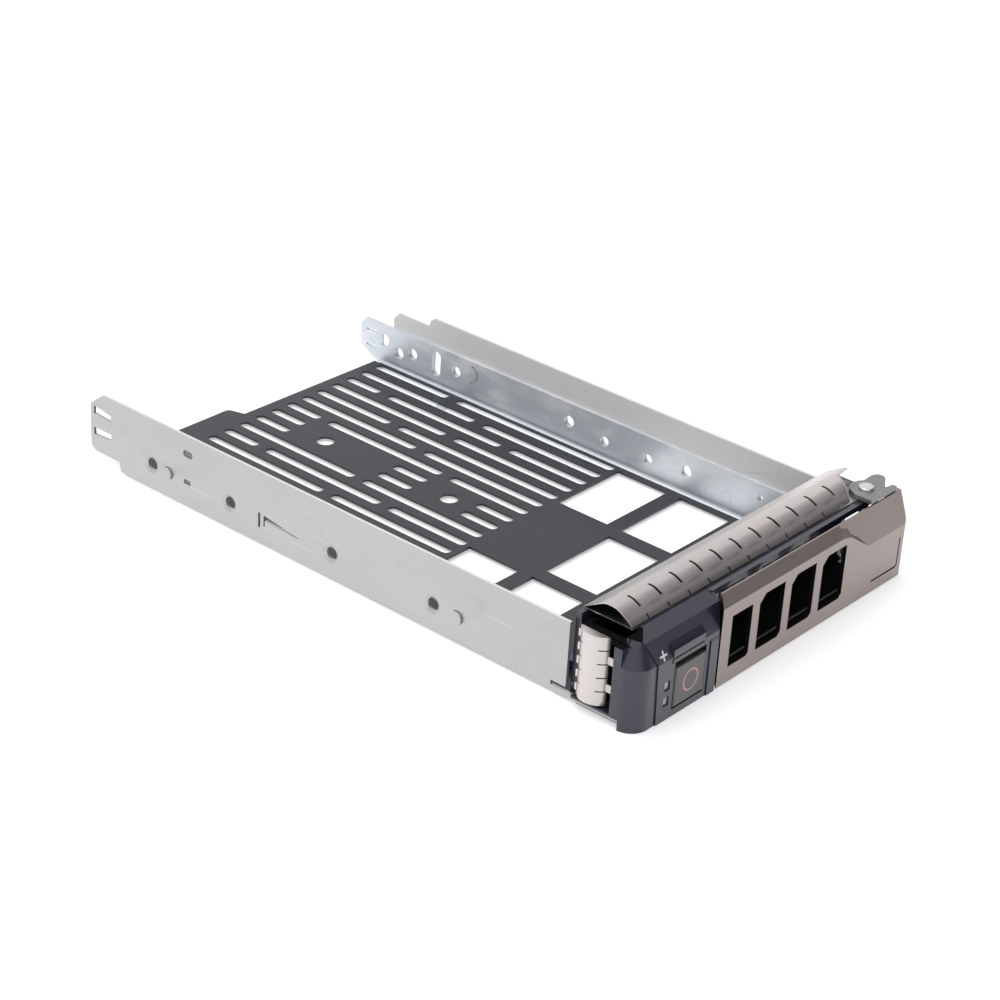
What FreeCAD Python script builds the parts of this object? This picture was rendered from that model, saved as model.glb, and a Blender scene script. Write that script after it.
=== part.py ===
import FreeCAD, Part
import math
import os

# Hot swap drive caddy, in millimetres. While it is modelled, x runs from the outer face of the
# left rail to the right, y runs to the rear from the front pair of drive screws, and z runs up
# from the surface that the caddy stands on. The finished pieces are moved to the bottom centre
# of the whole object when they are written.

# The drive that the caddy holds
drive_width = 101.6
drive_side_gap = 0.5
drive_screw_span = 101.6
drive_screw_rise = 6.35
drive_middle_screw_y = 41.6
drive_screw_hole_r = 1.75

# Sheet metal
sheet_t = 0.8
plate_t = 0.7
bend_r = 1.5
bay_left_x = sheet_t
bay_right_x = bay_left_x + drive_width + 2 * drive_side_gap
rail_span = bay_right_x + 2 * sheet_t

# Rails and their rivets
rail_height = 21.6
left_rail_rear_y = 125.8
rail_front_y = -43.2
tab_length = 14.0
tab_reach = 9.0
flange_reach = 2.6
collar_r = 2.5
collar_t = 0.4
sink_r = 2.6
sink_depth = 0.5
lance_r = 1.9
lance_rise = 0.8
tab_centres_y = (96.0, 56.0, 14.0, -28.0)
right_tabs_y = ((80.6, 83.8), (-1.1, 2.8), (-39.0, -21.0))
right_rivets_y = (82.2, 0.85, -25.5, -34.5)
wall_rivets_y = (66.0, 20.5, -14.0)
wall_rivet_z = 5.6
rivet_r = 1.0
rivet_head_r = 1.6
rivet_head_t = 0.3
rivet_fit = 0.03

# Side rails
tongue_bottom_z = 3.7
tongue_length = 9.4
lip_front_y = -60.0
lip_top_z = 2.5
lip_slot_height = 1.2
lip_slot_length = 4.6
outer_rear_y = 110.3
outer_step_y = 95.4
outer_step_drop = 3.0
inner_rear_y = 122.5
inner_height = 13.5
inner_flange_reach = 2.6
right_tab_reach = 7.4

# Base plate
plate_rear_y = 115.3
plate_tab_rear_y = 121.0
plate_tab_right_x = 47.0
plate_front_y = -43.0
slot_rows = 15
first_slot_x = 13.1
slot_pitch = (bay_right_x - 3.5 - first_slot_x) / (slot_rows - 1)
slot_breaks_y = ((97.8, 51.2), (66.6,), (82.2,), (66.6,))
middle_slots_y = ((21.9, 34.4), (52.9, 64.9), (99.8, 112.4))
slot_width = 3.1
slot_rear_y = 112.4
slot_front_y = 21.9
slot_bridge = 3.5
centre_hole_r = 2.6
plate_windows_x = (11.2, bay_right_x - 3.4)
plate_window_bar = 4.8
plate_window_columns = 3
window_front_row_y = (-18.6, -1.4)
window_rear_row_y = (3.1, 20.3)

# Bezel
bezel_left_x = -1.4
bezel_right_x = rail_span + 0.4
bezel_rear_y = -43.4
bezel_front_y = -65.8
bezel_height = 24.2
bezel_wall = 1.6
bezel_corner_r = 5.2
bevel_bottom_z = bezel_height - 8.6
bevel_depth = 3.2
pod_front_y = bezel_front_y + 0.3
column_step = 0.35
panel_left_x = (6.8, 5.8, 2.5)
pod_bevel_bottom_z = bezel_height - 7.2
pod_bevel_depth = 3.1
pod_slope_rear_y = -58.8
pod_slope_drop = 1.2
pod_wall_t = 1.9
pod_side_t = 3.2
pod_roof_inset = 4.0
pod_right_x = 27.4
cheek_x = 29.3
frame_rib_x = 26.2
roof_front_y = -60.1
pod_rear_y = -46.0
side_pocket_y = -57.6
side_pocket_z = (3.3, bezel_height - 1.5)
side_notch_z = bezel_height - 2.3
side_pocket_x = 0.3
vent_slots = 11
vent_slot_width = 4.2
vent_slot_height = bezel_height - 9.2
vent_bottom_z = 5.6
first_vent_x = 31.6
screen_left_x = first_vent_x - 1.2
screen_bottom_z = vent_bottom_z - 2.2
screen_top_z = bezel_height - 2.6
screen_t = 0.5
screen_rows = 4
screen_row_pitch = (bezel_height - 6.2) / screen_rows
screen_hole = 3.4
tongue_x = (10.0, rail_span - 9.0)
tongue_screws_x = (20.0, rail_span / 2 - 0.5, rail_span - 21.0)
tongue_rear_y = -35.0
tongue_screw_y = -38.6
tongue_t = 2.5
tongue_seat_depth = 0.1
ledge_x = (11.4, 23.6)

# Release button
button_x = (12.8, 24.4)
button_z = (2.6, 13.6)
button_opening_top_z = 15.2
button_gap = 0.3
button_swing_gap = 0.6
button_pivot_y = -62.4
button_pivot_z = 14.4
button_pin_r = 0.9
button_pin_fit = 0.05
button_pin_x = (11.3, 26.4)
button_hub_r = 1.7
hook_y = -51.8
hook_length = 1.7
hook_gap = 0.3
latch_top_z = 14.8
light_windows_z = (5.4, 9.7)
light_window_x = (9.0, 11.1)
light_window_half = 1.3
light_recess = 0.5
pipe_gap = 0.1
ring_z = 7.9
ring_shift = 0.4
ring_r = 3.1
ring_width = 0.65

# Handle
handle_left_x = 30.0
handle_right_x = rail_span + 6.0
handle_bottom_z = 0.3
handle_wall = 1.2
handle_corner_r = 1.0
handle_edge_t = 0.5
handle_front_top_z = bezel_height - 1.8
handle_lip_y = -60.4
end_wall_y = bezel_front_y + 6.8
latch_plate_x = (handle_left_x + bevel_depth, handle_left_x + 4.6)
facet_x = (handle_right_x - 30.5, handle_right_x - 27.0, handle_right_x - 18.0)
facet_lean = (0.7, 1.0, 0.35)
window_count = 4
window_bottom_z = 4.7
window_top_z = bezel_height - 4.2
first_window_right_x = 42.4
window_pitch = (handle_right_x - 28.55 - first_window_right_x) / (window_count - 1)
window_width = window_pitch - 3.05
window_chamfer = 2.2
pivot_x = rail_span - 2.7
pivot_y = -57.4
pin_r = 1.25
pin_fit = 0.05
ear_r = 4.4
ear_t = 1.1
ear_gap = 0.3
claw_reach = 9.3

# Springs
strip_t = 0.25
spring_left_x = 4.3
spring_rear_y = -43.6
spring_front_y = -58.3
spring_profile = ((-58.1, 0.1), (-57.3, 0.9), (-56.0, 1.8), (-54.0, 2.9), (-52.2, 3.4),
                  (-49.4, 3.2), (-46.4, 1.6), (-44.2, 0.3))
spring_right_rear_x = rail_span - 1.4
spring_right_front_x = rail_span - 12.4
finger_pitch = 8.0
first_finger_x = spring_left_x + 6.0
finger_count = int((spring_right_front_x - first_finger_x) / finger_pitch) + 1
finger_slit = 0.55
side_spring_front_y = -55.1
side_spring_z = (3.8, bezel_height - 1.7)
side_spring_bulge = 2.2
side_slit = 0.3
side_fingers = 5

# Hinge corner of the bezel and the handle's lever
roof_corner_r = 3.4
floor_corner_r = 2.6
floor_front_y = -59.8
notch_rear_y = -51.8
hinge_plate_t = 0.8
hinge_plate_fit = 0.05
end_wall_t = 1.8
lever_wall_t = 1.0
screen_bars = 15

# Values that follow from those above
V = FreeCAD.Vector
plate_bottom_z = sheet_t
plate_top_z = plate_bottom_z + plate_t
screw_z = plate_top_z + drive_screw_rise
plate_right_x = bay_right_x - bend_r
bevel_top_y = bezel_front_y + bevel_depth
lever_wall_x = (handle_right_x - end_wall_t - lever_wall_t, handle_right_x - end_wall_t)
spring_base_z = bezel_height + strip_t
ear_bottom_z = bezel_height + ear_gap
ear_top_z = ear_bottom_z + ear_t
overall_left_x = -side_spring_bulge
overall_right_x = pivot_x + claw_reach
origin = V((overall_left_x + overall_right_x) / 2, (left_rail_rear_y + bezel_front_y) / 2, 0)


def box(x, y, z):
    """A block between two x, two y and two z values."""
    return Part.makeBox(x[1] - x[0], y[1] - y[0], z[1] - z[0], V(x[0], y[0], z[0]))


def rod(radius, start, end):
    """A round bar between two points."""
    start = V(*start)
    axis = V(*end) - start
    return Part.makeCylinder(radius, axis.Length, start, axis)


def prism(points, direction):
    """A flat outline pushed along a direction."""
    corners = [V(*point) for point in points]
    return Part.Face(Part.makePolygon(corners + corners[:1])).extrude(V(*direction))


def side_prism(outline, x):
    """An outline of (y, z) points pushed from one x to another."""
    return prism([(x[0], y, z) for y, z in outline], (x[1] - x[0], 0, 0))


def front_prism(outline, y):
    """An outline of (x, z) points pushed from one y to another."""
    return prism([(x, y[0], z) for x, z in outline], (0, y[1] - y[0], 0))


def plan_prism(outline, z):
    """An outline of (x, y) points pushed from one z to another."""
    return prism([(x, y, z[0]) for x, y in outline], (0, 0, z[1] - z[0]))


def round_edges(solid, radius, chosen):
    """Rounds the straight edges whose middle point passes the test."""
    edges = [edge for edge in solid.Edges if chosen(edge)]
    return solid.makeFillet(radius, edges)


def edge_at(direction, **place):
    """A test for straight edges along one axis that pass through the given coordinates."""
    def test(edge):
        if not isinstance(edge.Curve, Part.Line):
            return False
        middle = edge.CenterOfMass
        span = edge.Vertexes[-1].Point - edge.Vertexes[0].Point
        along = abs(getattr(span, direction)) > 0.99 * span.Length
        near = all(abs(getattr(middle, name) - value) < 0.02 for name, value in place.items())
        return along and near
    return test


def oblong(centre_a, centre_b, width, depth):
    """A round-ended slot cutter between two end centres, depth along z from their height."""
    a = V(*centre_a)
    b = V(*centre_b)
    along = (b - a).normalize() * (width / 2)
    across = V(-along.y, along.x, 0)
    tip_a = a - along
    tip_b = b + along
    edges = [
        Part.makeLine(a + across, b + across),
        Part.Arc(b + across, tip_b, b - across).toShape(),
        Part.makeLine(b - across, a - across),
        Part.Arc(a - across, tip_a, a + across).toShape(),
    ]
    return Part.Face(Part.Wire(edges)).extrude(V(0, 0, depth))


def plate_rivets(places):
    """Flush rivets that hold the base plate on the tabs below it."""
    solids = []
    for x, y in places:
        shank = rod(rivet_r, (x, y, 0), (x, y, plate_top_z))
        foot = rod(rivet_head_r, (x, y, 0), (x, y, rivet_head_t))
        head = rod(rivet_head_r, (x, y, plate_top_z - rivet_head_t), (x, y, plate_top_z))
        solids.append(shank.fuse([foot, head]).removeSplitter())
    return solids


def rivet_holes(places):
    """What the rivets need cut from the sheets, with their fit."""
    cutters = []
    for x, y in places:
        cutters.append(rod(rivet_r + rivet_fit, (x, y, -1), (x, y, plate_top_z + 1)))
        cutters.append(rod(rivet_head_r + rivet_fit, (x, y, -1), (x, y, rivet_head_t)))
        top = plate_top_z - rivet_head_t
        cutters.append(rod(rivet_head_r + rivet_fit, (x, y, top), (x, y, plate_top_z + 1)))
    return cutters


def drive_screw_places():
    """Places along a rail for the drive's side screws."""
    return (0.0, drive_middle_screw_y, drive_screw_span)


left_holes_y = (drive_screw_span, 71.7, 34.7, 0.0)
left_rivets_at = [(tab_reach * 0.6, y) for y in tab_centres_y]
right_rivets_at = [(plate_right_x - right_tab_reach * 0.5, y) for y in right_rivets_y]
plate_screws_at = [(x, tongue_screw_y) for x in tongue_screws_x]
wall_rivets_at = [(y, wall_rivet_z) for y in wall_rivets_y]
lever_rivets_at = ((-61.4, 6.0), (-61.4, 12.0))


def left_rail():
    """Steel side rail: a wall folded under the plate, with tabs and with a lip in front."""
    tongue_y = left_rail_rear_y - tongue_length
    fold_y = (rail_front_y + 3.2, tongue_y - 4.4)
    outline = [
        (left_rail_rear_y, tongue_bottom_z), (left_rail_rear_y, rail_height - 4.0),
        (left_rail_rear_y - 5.0, rail_height), (rail_front_y, rail_height),
        (rail_front_y, lip_top_z + lip_slot_height),
        (rail_front_y + lip_slot_length, lip_top_z + lip_slot_height),
        (rail_front_y + lip_slot_length, lip_top_z),
        (lip_front_y, lip_top_z), (lip_front_y, plate_bottom_z), (fold_y[0], plate_bottom_z),
        (fold_y[0], 0), (fold_y[1], 0), (fold_y[1], plate_bottom_z),
        (tongue_y - 2.6, plate_bottom_z), (tongue_y - 2.0, tongue_bottom_z),
    ]
    rail = side_prism(outline, (0, sheet_t))
    rail = round_edges(rail, 2.5, edge_at("x", y=left_rail_rear_y, z=tongue_bottom_z))
    rail = round_edges(rail, 1.2, edge_at("x", y=lip_front_y, z=lip_top_z))
    under = [box((0, flange_reach), fold_y, (0, sheet_t))]
    for y in tab_centres_y:
        under.append(box((0, tab_reach), (y - tab_length / 2, y + tab_length / 2), (0, sheet_t)))
    rail = rail.fuse(under).removeSplitter()
    rail = round_edges(rail, bend_r, edge_at("y", x=0, z=0))
    added = [contact_pad(43.8, 5.6)]
    cutters = rivet_holes(left_rivets_at)
    for y in left_holes_y:
        added.append(rod(collar_r, (0, y, screw_z), (sheet_t + collar_t, y, screw_z)))
        cutters.append(rod(drive_screw_hole_r, (-1, y, screw_z), (2, y, screw_z)))
        cutters.append(Part.makeCone(sink_r, drive_screw_hole_r, sink_depth,
                                     V(0, y, screw_z), V(1, 0, 0)))
    for y in (drive_screw_span - 6.5, -8.4):
        opening = rod(lance_r, (-1, y, screw_z), (2, y, screw_z))
        cutters.append(opening.common(box((-1, 2), (y - 3, y + 1.2), (0, 20))))
    cutters += rear_windows(tongue_y)
    cutters.append(oblong_across((-0.1, 0.3), (86.6, 88.2), 16.3, 1.0))
    cutters.append(box((-0.1, 0.35), (86.4, 88.9), (7.2, 8.6)))
    cutters.append(box((-1, 2), (86.4, 88.9), (8.3, 8.6)))
    cutters += spring_tongue_slits()
    rail = rail.fuse(added).removeSplitter().cut(cutters)
    flaps = [lance_flap(y) for y in (drive_screw_span - 6.5, -8.4)]
    return rail.fuse(flaps).removeSplitter()


def oblong_across(x, centres_y, z, radius):
    """A round-ended cutter through the left rail, between two end centres."""
    ends = [rod(radius, (x[0], y, z), (x[1], y, z)) for y in centres_y]
    return ends[0].fuse([ends[1], box(x, centres_y, (z - radius, z + radius))])


def contact_pad(y, z):
    """A low round bump pressed outward at the root of the sprung tongue."""
    ball_r = 5.0
    rise = 0.4
    ball = Part.makeSphere(ball_r, V(ball_r - rise, y, z))
    return ball.common(box((-1, 0.2), (y - ball_r, y + ball_r), (z - ball_r, z + ball_r)))


def lance_flap(y):
    """The flap of a D-shaped lance, hinged at its straight rear edge and bent outward."""
    hinge_y = y + 1.3
    tip_y = y - lance_r
    plan = [(0, hinge_y), (0.55, hinge_y), (0.55 - lance_rise, tip_y), (-lance_rise, tip_y)]
    flap = plan_prism(plan, (screw_z - lance_r, screw_z + lance_r))
    return flap.common(rod(lance_r - 0.2, (-2, y, screw_z), (2, y, screw_z)))


def rear_windows(tongue_y):
    """The two windows in the rail's rear tongue, lower towards the front."""
    rear = left_rail_rear_y - 1.3
    front = tongue_y + 1.2
    heights = (((15.0, 17.3), (14.6, 16.4)), ((8.6, 10.8), (9.0, 10.8)))
    return [side_prism([(rear, at_rear[0]), (rear, at_rear[1]), (front, at_front[1]),
                        (front, at_front[0])], (-1, 2)) for at_rear, at_front in heights]


def spring_tongue_slits():
    """Two upright slots and a tapering slit that free the sprung tongue in the left rail."""
    taper = [(58.9, 9.4), (58.9, 8.0), (54.0, 7.75), (49.0, 7.6), (45.3, 7.6), (49.0, 8.05),
             (54.0, 8.75)]
    return [
        box((-1, 2), (60.1, 60.9), (5.3, 9.6)),
        box((-1, 2), (58.4, 58.9), (6.2, 9.4)),
        side_prism(taper, (-1, 2)),
    ]


def wall_rivets():
    """Flush rivets between the two walls on the right."""
    solids = []
    for y, z in wall_rivets_at:
        shank = rod(rivet_r, (bay_right_x, y, z), (rail_span, y, z))
        inner = rod(rivet_head_r, (bay_right_x, y, z), (bay_right_x + rivet_head_t, y, z))
        outer = rod(rivet_head_r, (rail_span - rivet_head_t, y, z), (rail_span, y, z))
        solids.append(shank.fuse([inner, outer]).removeSplitter())
    return solids


def right_wall_holes():
    """Holes that pass through both walls on the right."""
    through = (bay_right_x - 1, rail_span + 1)
    holes = [(y, screw_z, drive_screw_hole_r) for y in drive_screw_places()]
    holes += [(107.0, 6.2, 1.75), (84.4, 8.2, 1.6), (28.6, 6.4, 1.5), (13.2, 6.6, 1.5),
              (-24.9, 9.3, 0.9)]
    holes += [(y, z, rivet_r + rivet_fit) for y, z in wall_rivets_at]
    cutters = [rod(r, (through[0], y, z), (through[1], y, z)) for y, z, r in holes]
    slot_r = 1.65
    ends = [rod(slot_r, (through[0], 92.2, z), (through[1], 92.2, z)) for z in (5.8, 10.2)]
    cutters += ends + [box(through, (92.2 - slot_r, 92.2 + slot_r), (5.8, 10.2))]
    half_round = rod(1.9, (through[0], 113.1, 8.6), (through[1], 113.1, 8.6))
    cutters.append(half_round.common(box(through, (110.6, 113.9), (0, 20))))
    return cutters


def right_outer_rail():
    """Full-height steel wall on the right, lower over its rear end."""
    step_z = rail_height - outer_step_drop
    outline = [
        (rail_front_y, plate_bottom_z), (outer_rear_y, plate_bottom_z),
        (outer_rear_y, step_z - 2.2), (outer_rear_y - 2.0, step_z),
        (outer_step_y + 1.0, step_z), (outer_step_y + 0.4, rail_height - 1.2),
        (outer_step_y - 1.0, rail_height), (rail_front_y, rail_height),
    ]
    wall = side_prism(outline, (rail_span - sheet_t, rail_span))
    cutters = right_wall_holes()
    for y, z in wall_rivets_at:
        start = (rail_span - rivet_head_t, y, z)
        cutters.append(rod(rivet_head_r + rivet_fit, start, (rail_span + 1, y, z)))
    return wall.cut(cutters)


def right_inner_rail():
    """Zinc-plated angle: a low wall on the right with a flange under the plate."""
    x_wall = (bay_right_x, bay_right_x + sheet_t)
    outline = [
        (bezel_rear_y + 0.4, 0), (inner_rear_y - 8.5, 0), (inner_rear_y, 4.3),
        (inner_rear_y, inner_height - 2.0), (inner_rear_y - 2.0, inner_height),
        (bezel_rear_y + 0.4, inner_height),
    ]
    wall = side_prism(outline, x_wall)
    flange_x = (x_wall[1] - inner_flange_reach, x_wall[1])
    flange = box(flange_x, (bezel_rear_y + 4.0, inner_rear_y - 8.5), (0, sheet_t))
    tabs_x = (plate_right_x - right_tab_reach, x_wall[1])
    tabs = [box(tabs_x, y, (0, sheet_t)) for y in right_tabs_y]
    angle = wall.fuse([flange] + tabs).removeSplitter()
    bend = edge_at("y", x=x_wall[0], z=sheet_t)
    angle = round_edges(angle, bend_r - 0.1, bend)
    cutters = right_wall_holes() + rivet_holes(right_rivets_at)
    for y, z in wall_rivets_at:
        end = (bay_right_x + rivet_head_t, y, z)
        cutters.append(rod(rivet_head_r + rivet_fit, (bay_right_x - 1, y, z), end))
    through = (x_wall[0] - 1, x_wall[1] + 1)
    for z in (4.9, 9.8):
        cutters.append(box(through, (116.0, 120.2), (z, z + 0.7)))
    crescent = rod(2.9, (through[0], 78.4, 9.2), (through[1], 78.4, 9.2))
    core = rod(2.3, (through[0], 79.0, 9.2), (through[1], 79.0, 9.2))
    cutters.append(crescent.cut([core, box((90, 120), (78.8, 90), (0, 20))]))
    return angle.cut(cutters)


def slot_spans(row):
    """The y ranges of the slots in one row of the base plate."""
    if row in (slot_rows // 2 - 1, slot_rows // 2):
        return middle_slots_y
    ends = [slot_rear_y]
    for place in slot_breaks_y[row % len(slot_breaks_y)]:
        ends += [place + slot_bridge / 2, place - slot_bridge / 2]
    ends.append(slot_front_y)
    return [(ends[i + 1], ends[i]) for i in range(0, len(ends), 2)]


def base_plate():
    """Flat painted plate with rows of long slots and windows in front."""
    left_x = bay_left_x + 0.1
    corner = (left_x + 4.0, plate_rear_y - 2.8)
    outline = [
        (left_x, plate_front_y), (plate_right_x, plate_front_y), (plate_right_x, plate_rear_y),
        (plate_tab_right_x + 1.6, plate_rear_y + 0.6), (plate_tab_right_x, plate_tab_rear_y),
        (corner[0], plate_tab_rear_y), corner, (left_x, corner[1]),
    ]
    plate = plan_prism(outline, (plate_bottom_z, plate_top_z))
    plate = round_edges(plate, 1.6, edge_at("z", x=plate_tab_right_x, y=plate_tab_rear_y))
    half = slot_width / 2
    cutters = rivet_holes(left_rivets_at + right_rivets_at)
    for row in range(slot_rows):
        x = first_slot_x + row * slot_pitch
        for low, high in slot_spans(row):
            a = (x, low + half, 0)
            b = (x, high - half, 0)
            cutters.append(oblong(a, b, slot_width, rail_height))
    centre_x = first_slot_x + (slot_rows // 2 - 0.5) * slot_pitch
    for y in (88.4, 41.8):
        cutters.append(rod(centre_hole_r, (centre_x, y, 0), (centre_x, y, 5)))
    seat_z = plate_top_z - tongue_seat_depth
    cutters.append(box((tongue_x[0] - 0.1, tongue_x[1] + 0.1),
                       (plate_front_y - 1, tongue_rear_y + 0.1), (seat_z, seat_z + 1)))
    for column, x in enumerate(plate_window_spans()):
        cutters.append(box(x, window_front_row_y, (0, 5)))
        if column != 1:
            cutters.append(box(x, window_rear_row_y, (0, 5)))
    for x, y in plate_screws_at:
        cutters.append(rod(1.7, (x, y, 0), (x, y, 5)))
    return plate.cut(cutters)


def plate_window_spans():
    """The x ranges of the plate's windows."""
    left, right = plate_windows_x
    bars = plate_window_bar * (plate_window_columns - 1)
    width = (right - left - bars) / plate_window_columns
    starts = [left + (width + plate_window_bar) * column for column in range(plate_window_columns)]
    return [(start, start + width) for start in starts]


def bevelled_side(front_y, rear_y):
    """Outline of the pod in (y, z): upright front, bevel and flat top."""
    return [
        (front_y, 0), (front_y, pod_bevel_bottom_z), (front_y + pod_bevel_depth, bezel_height),
        (rear_y, bezel_height), (rear_y, 0),
    ]


def roof_slope(x):
    """What the pod's roof loses where it falls towards the bevel."""
    edge_z = bezel_height - pod_slope_drop
    edge_depth = pod_bevel_depth * (edge_z - pod_bevel_bottom_z) / (bezel_height - pod_bevel_bottom_z)
    fall = pod_slope_drop / (pod_slope_rear_y - pod_front_y - edge_depth)
    front_y = bezel_front_y - 1
    front_z = bezel_height - fall * (pod_slope_rear_y - front_y)
    return side_prism([
        (front_y, front_z), (pod_slope_rear_y, bezel_height),
        (pod_slope_rear_y, bezel_height + 1), (front_y, bezel_height + 1)], x)


def pod_shell():
    """The button pod: round column, proud front panel, hollow inside."""
    x0 = bezel_left_x
    column_front = pod_front_y + column_step
    centre = V(x0 + bezel_corner_r, column_front + bezel_corner_r, 0)
    corner_face = Part.Face(Part.makePolygon(
        [V(centre.x, y, z) for y, z in bevelled_side(column_front, centre.y)]
        + [V(centre.x, column_front, 0)]))
    column = corner_face.revolve(centre, V(0, 0, 1), -90)
    flank = box((x0, centre.x), (centre.y, pod_rear_y), (0, bezel_height))
    backing = side_prism(bevelled_side(column_front, pod_rear_y), (centre.x, pod_right_x))
    bottom_x, knee_x, top_x = panel_left_x
    panel = side_prism(bevelled_side(pod_front_y, pod_rear_y), (top_x, pod_right_x))
    left_of_panel = front_prism([
        (top_x - 1, -1), (bottom_x, -1), (knee_x, pod_bevel_bottom_z), (top_x, bezel_height),
        (top_x - 1, bezel_height)], (pod_front_y - 1, pod_rear_y + 1))
    pod = column.fuse([flank, backing, panel.cut(left_of_panel)]).removeSplitter()
    inner_x = (x0 + pod_side_t, pod_right_x - bezel_wall)
    hollow = box(inner_x, (pod_front_y + pod_wall_t, pod_rear_y - bezel_wall),
                 (bezel_wall, bevel_bottom_z - 0.4))
    upper = box((inner_x[0] + 1, inner_x[1]),
                (pod_front_y + pod_roof_inset, pod_rear_y - bezel_wall),
                (bevel_bottom_z - 1, bezel_height - bezel_wall))
    bearing = box((button_pin_x[0], button_x[0] - button_gap - 0.3),
                  (pod_front_y + 1, button_pivot_y + 2.0),
                  (button_pivot_z - 3.0, button_pivot_z + 3.0))
    return pod.cut([hollow, upper]).fuse(bearing).removeSplitter()


def cheek():
    """Hollow corner right of the button whose slanted face follows the handle's end."""
    reach = cheek_x + bevel_depth
    block = side_prism(bevelled_side(pod_front_y, roof_front_y + 0.1), (pod_right_x - 1, reach))
    rib = side_prism([
        (bezel_front_y, 0), (bezel_front_y, bevel_bottom_z - 0.6),
        (pod_front_y + 0.4, bevel_bottom_z + 1.4), (pod_front_y + 1.0, bevel_bottom_z + 1.4),
        (pod_front_y + 1.0, 0)], (frame_rib_x, reach))
    slant = plan_prism([
        (cheek_x - 1, bezel_front_y - 1), (reach, bevel_top_y), (reach, roof_front_y + 1),
        (reach + 9, roof_front_y + 1), (reach + 9, bezel_front_y - 1)], (-1, bezel_height + 1))
    pocket = box((pod_right_x, reach - bezel_wall), (bevel_top_y, roof_front_y + 1),
                 (bezel_wall, bezel_height - pod_slope_drop - bezel_wall))
    return block.fuse(rib).cut([slant, pocket])


def ledge():
    """Grooved visor over the button."""
    face = bezel_front_y + 0.1
    low = button_opening_top_z + 0.1
    high = bezel_height - 3.3
    outline = [
        (face, low), (face, low + 1.1), (face + 0.5, low + 1.1), (face + 0.5, low + 1.6),
        (face, low + 1.6), (face, low + 3.6), (face + 0.7, low + 4.4), (face + 2.3, high),
        (face + 3.2, high), (face + 3.2, low)]
    return side_prism(outline, ledge_x)


def pod_cutters():
    """Openings of the pod: button, pin, hook, lights and the pocket of the side spring."""
    x0 = bezel_left_x
    opening_x = (button_x[0] - button_gap, button_x[1] + button_gap)
    opening_z = (button_z[0] - button_swing_gap, button_opening_top_z)
    pivot = (button_pivot_y, button_pivot_z)
    cutters = [
        box(opening_x, (bezel_front_y - 1, pod_front_y + pod_wall_t + 1), opening_z),
        rod(button_hub_r + button_gap, (opening_x[0], *pivot), (opening_x[1], *pivot)),
        rod(button_pin_r + button_pin_fit, (button_pin_x[0] - 0.2, *pivot),
            (button_pin_x[1] + 0.2, *pivot)),
        box((pod_right_x - bezel_wall - 1, pod_right_x + 1), (hook_y - 1.6, hook_y + 1.6),
            (14.4, 19.8)),
        box((x0 - 1, side_pocket_x), (side_pocket_y, pod_rear_y + 1), side_pocket_z),
        box((x0 - 1, 0.9), (side_pocket_y - 3.8, pod_rear_y + 1),
            (side_notch_z, bezel_height + 1)),
        box((x0 - 1, spring_left_x + 2.7), (spring_front_y - 0.9, pod_rear_y + 1),
            (bezel_height - 1.8, bezel_height + 1)),
        box((0, x0 + pod_side_t + 0.1), (side_pocket_y + 0.1, side_spring_front_y - 0.2),
            (side_pocket_z[0] + 1.8, side_pocket_z[1] - 1.7)),
    ]
    for z in light_windows_z:
        cutters.append(box(light_window_x, (bezel_front_y - 1, pod_front_y + pod_wall_t + 1),
                           (z - light_window_half, z + light_window_half)))
        cutters.append(box(light_window_x, (pod_rear_y - bezel_wall - 1, pod_rear_y + 1),
                           (z - 0.6, z + 0.6)))
    return cutters


def bezel():
    """Moulded front frame: button pod on the left, vented tray behind the handle."""
    x0 = bezel_left_x
    wall = bezel_wall
    inner_x = x0 + pod_side_t
    tray_x = (pod_right_x - wall, bezel_right_x)
    floor_z = (0, wall)
    roof_z = (bezel_height - wall, bezel_height)
    link_y = (pod_rear_y - wall, bezel_rear_y)
    rear_y = (bezel_rear_y - wall, bezel_rear_y)
    tongue_z = plate_top_z - tongue_seat_depth
    pieces = [
        cheek(),
        ledge(),
        tray_sheet(tray_x, floor_front_y, floor_corner_r, floor_z),
        tray_sheet(tray_x, roof_front_y, roof_corner_r, roof_z),
        box((inner_x, bezel_right_x), rear_y, (0, bezel_height)),
        box((inner_x, pod_right_x), link_y, floor_z),
        box((inner_x, pod_right_x), link_y, roof_z),
        box(tongue_x, (rear_y[0], tongue_rear_y), (tongue_z, tongue_z + tongue_t)),
        box((bezel_right_x - wall, bezel_right_x), (notch_rear_y + 1.3, bezel_rear_y),
            (0, bezel_height)),
    ]
    frame = pod_shell().fuse(pieces).removeSplitter()
    cutters = pod_cutters()
    cutters.append(roof_slope((x0 - 1, cheek_x + bevel_depth)))
    cutters.append(box((-0.2, sheet_t + 0.2), (lip_front_y - 0.2, bezel_rear_y + 1),
                       (-1, lip_top_z + 0.2)))
    cutters.append(box((x0 - 1, 0), (lip_front_y - 0.2, bezel_rear_y + 1), (-1, lip_top_z + 0.2)))
    pitch = (bezel_right_x - 5 - first_vent_x) / vent_slots
    for index in range(vent_slots):
        x = first_vent_x + index * pitch
        cutters.append(box((x, x + vent_slot_width), (rear_y[0] - 1, rear_y[1] + 1),
                           (vent_bottom_z, vent_bottom_z + vent_slot_height)))
    for x, y in plate_screws_at:
        cutters.append(rod(1.3, (x, y, 0), (x, y, 8)))
    cutters.append(rod(pin_r + pin_fit, (pivot_x, pivot_y, 0.4),
                       (pivot_x, pivot_y, bezel_height + 1)))
    cutters.append(hinge_plate_blank(hinge_plate_fit, hinge_plate_t + 1))
    return frame.cut(cutters)


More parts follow.
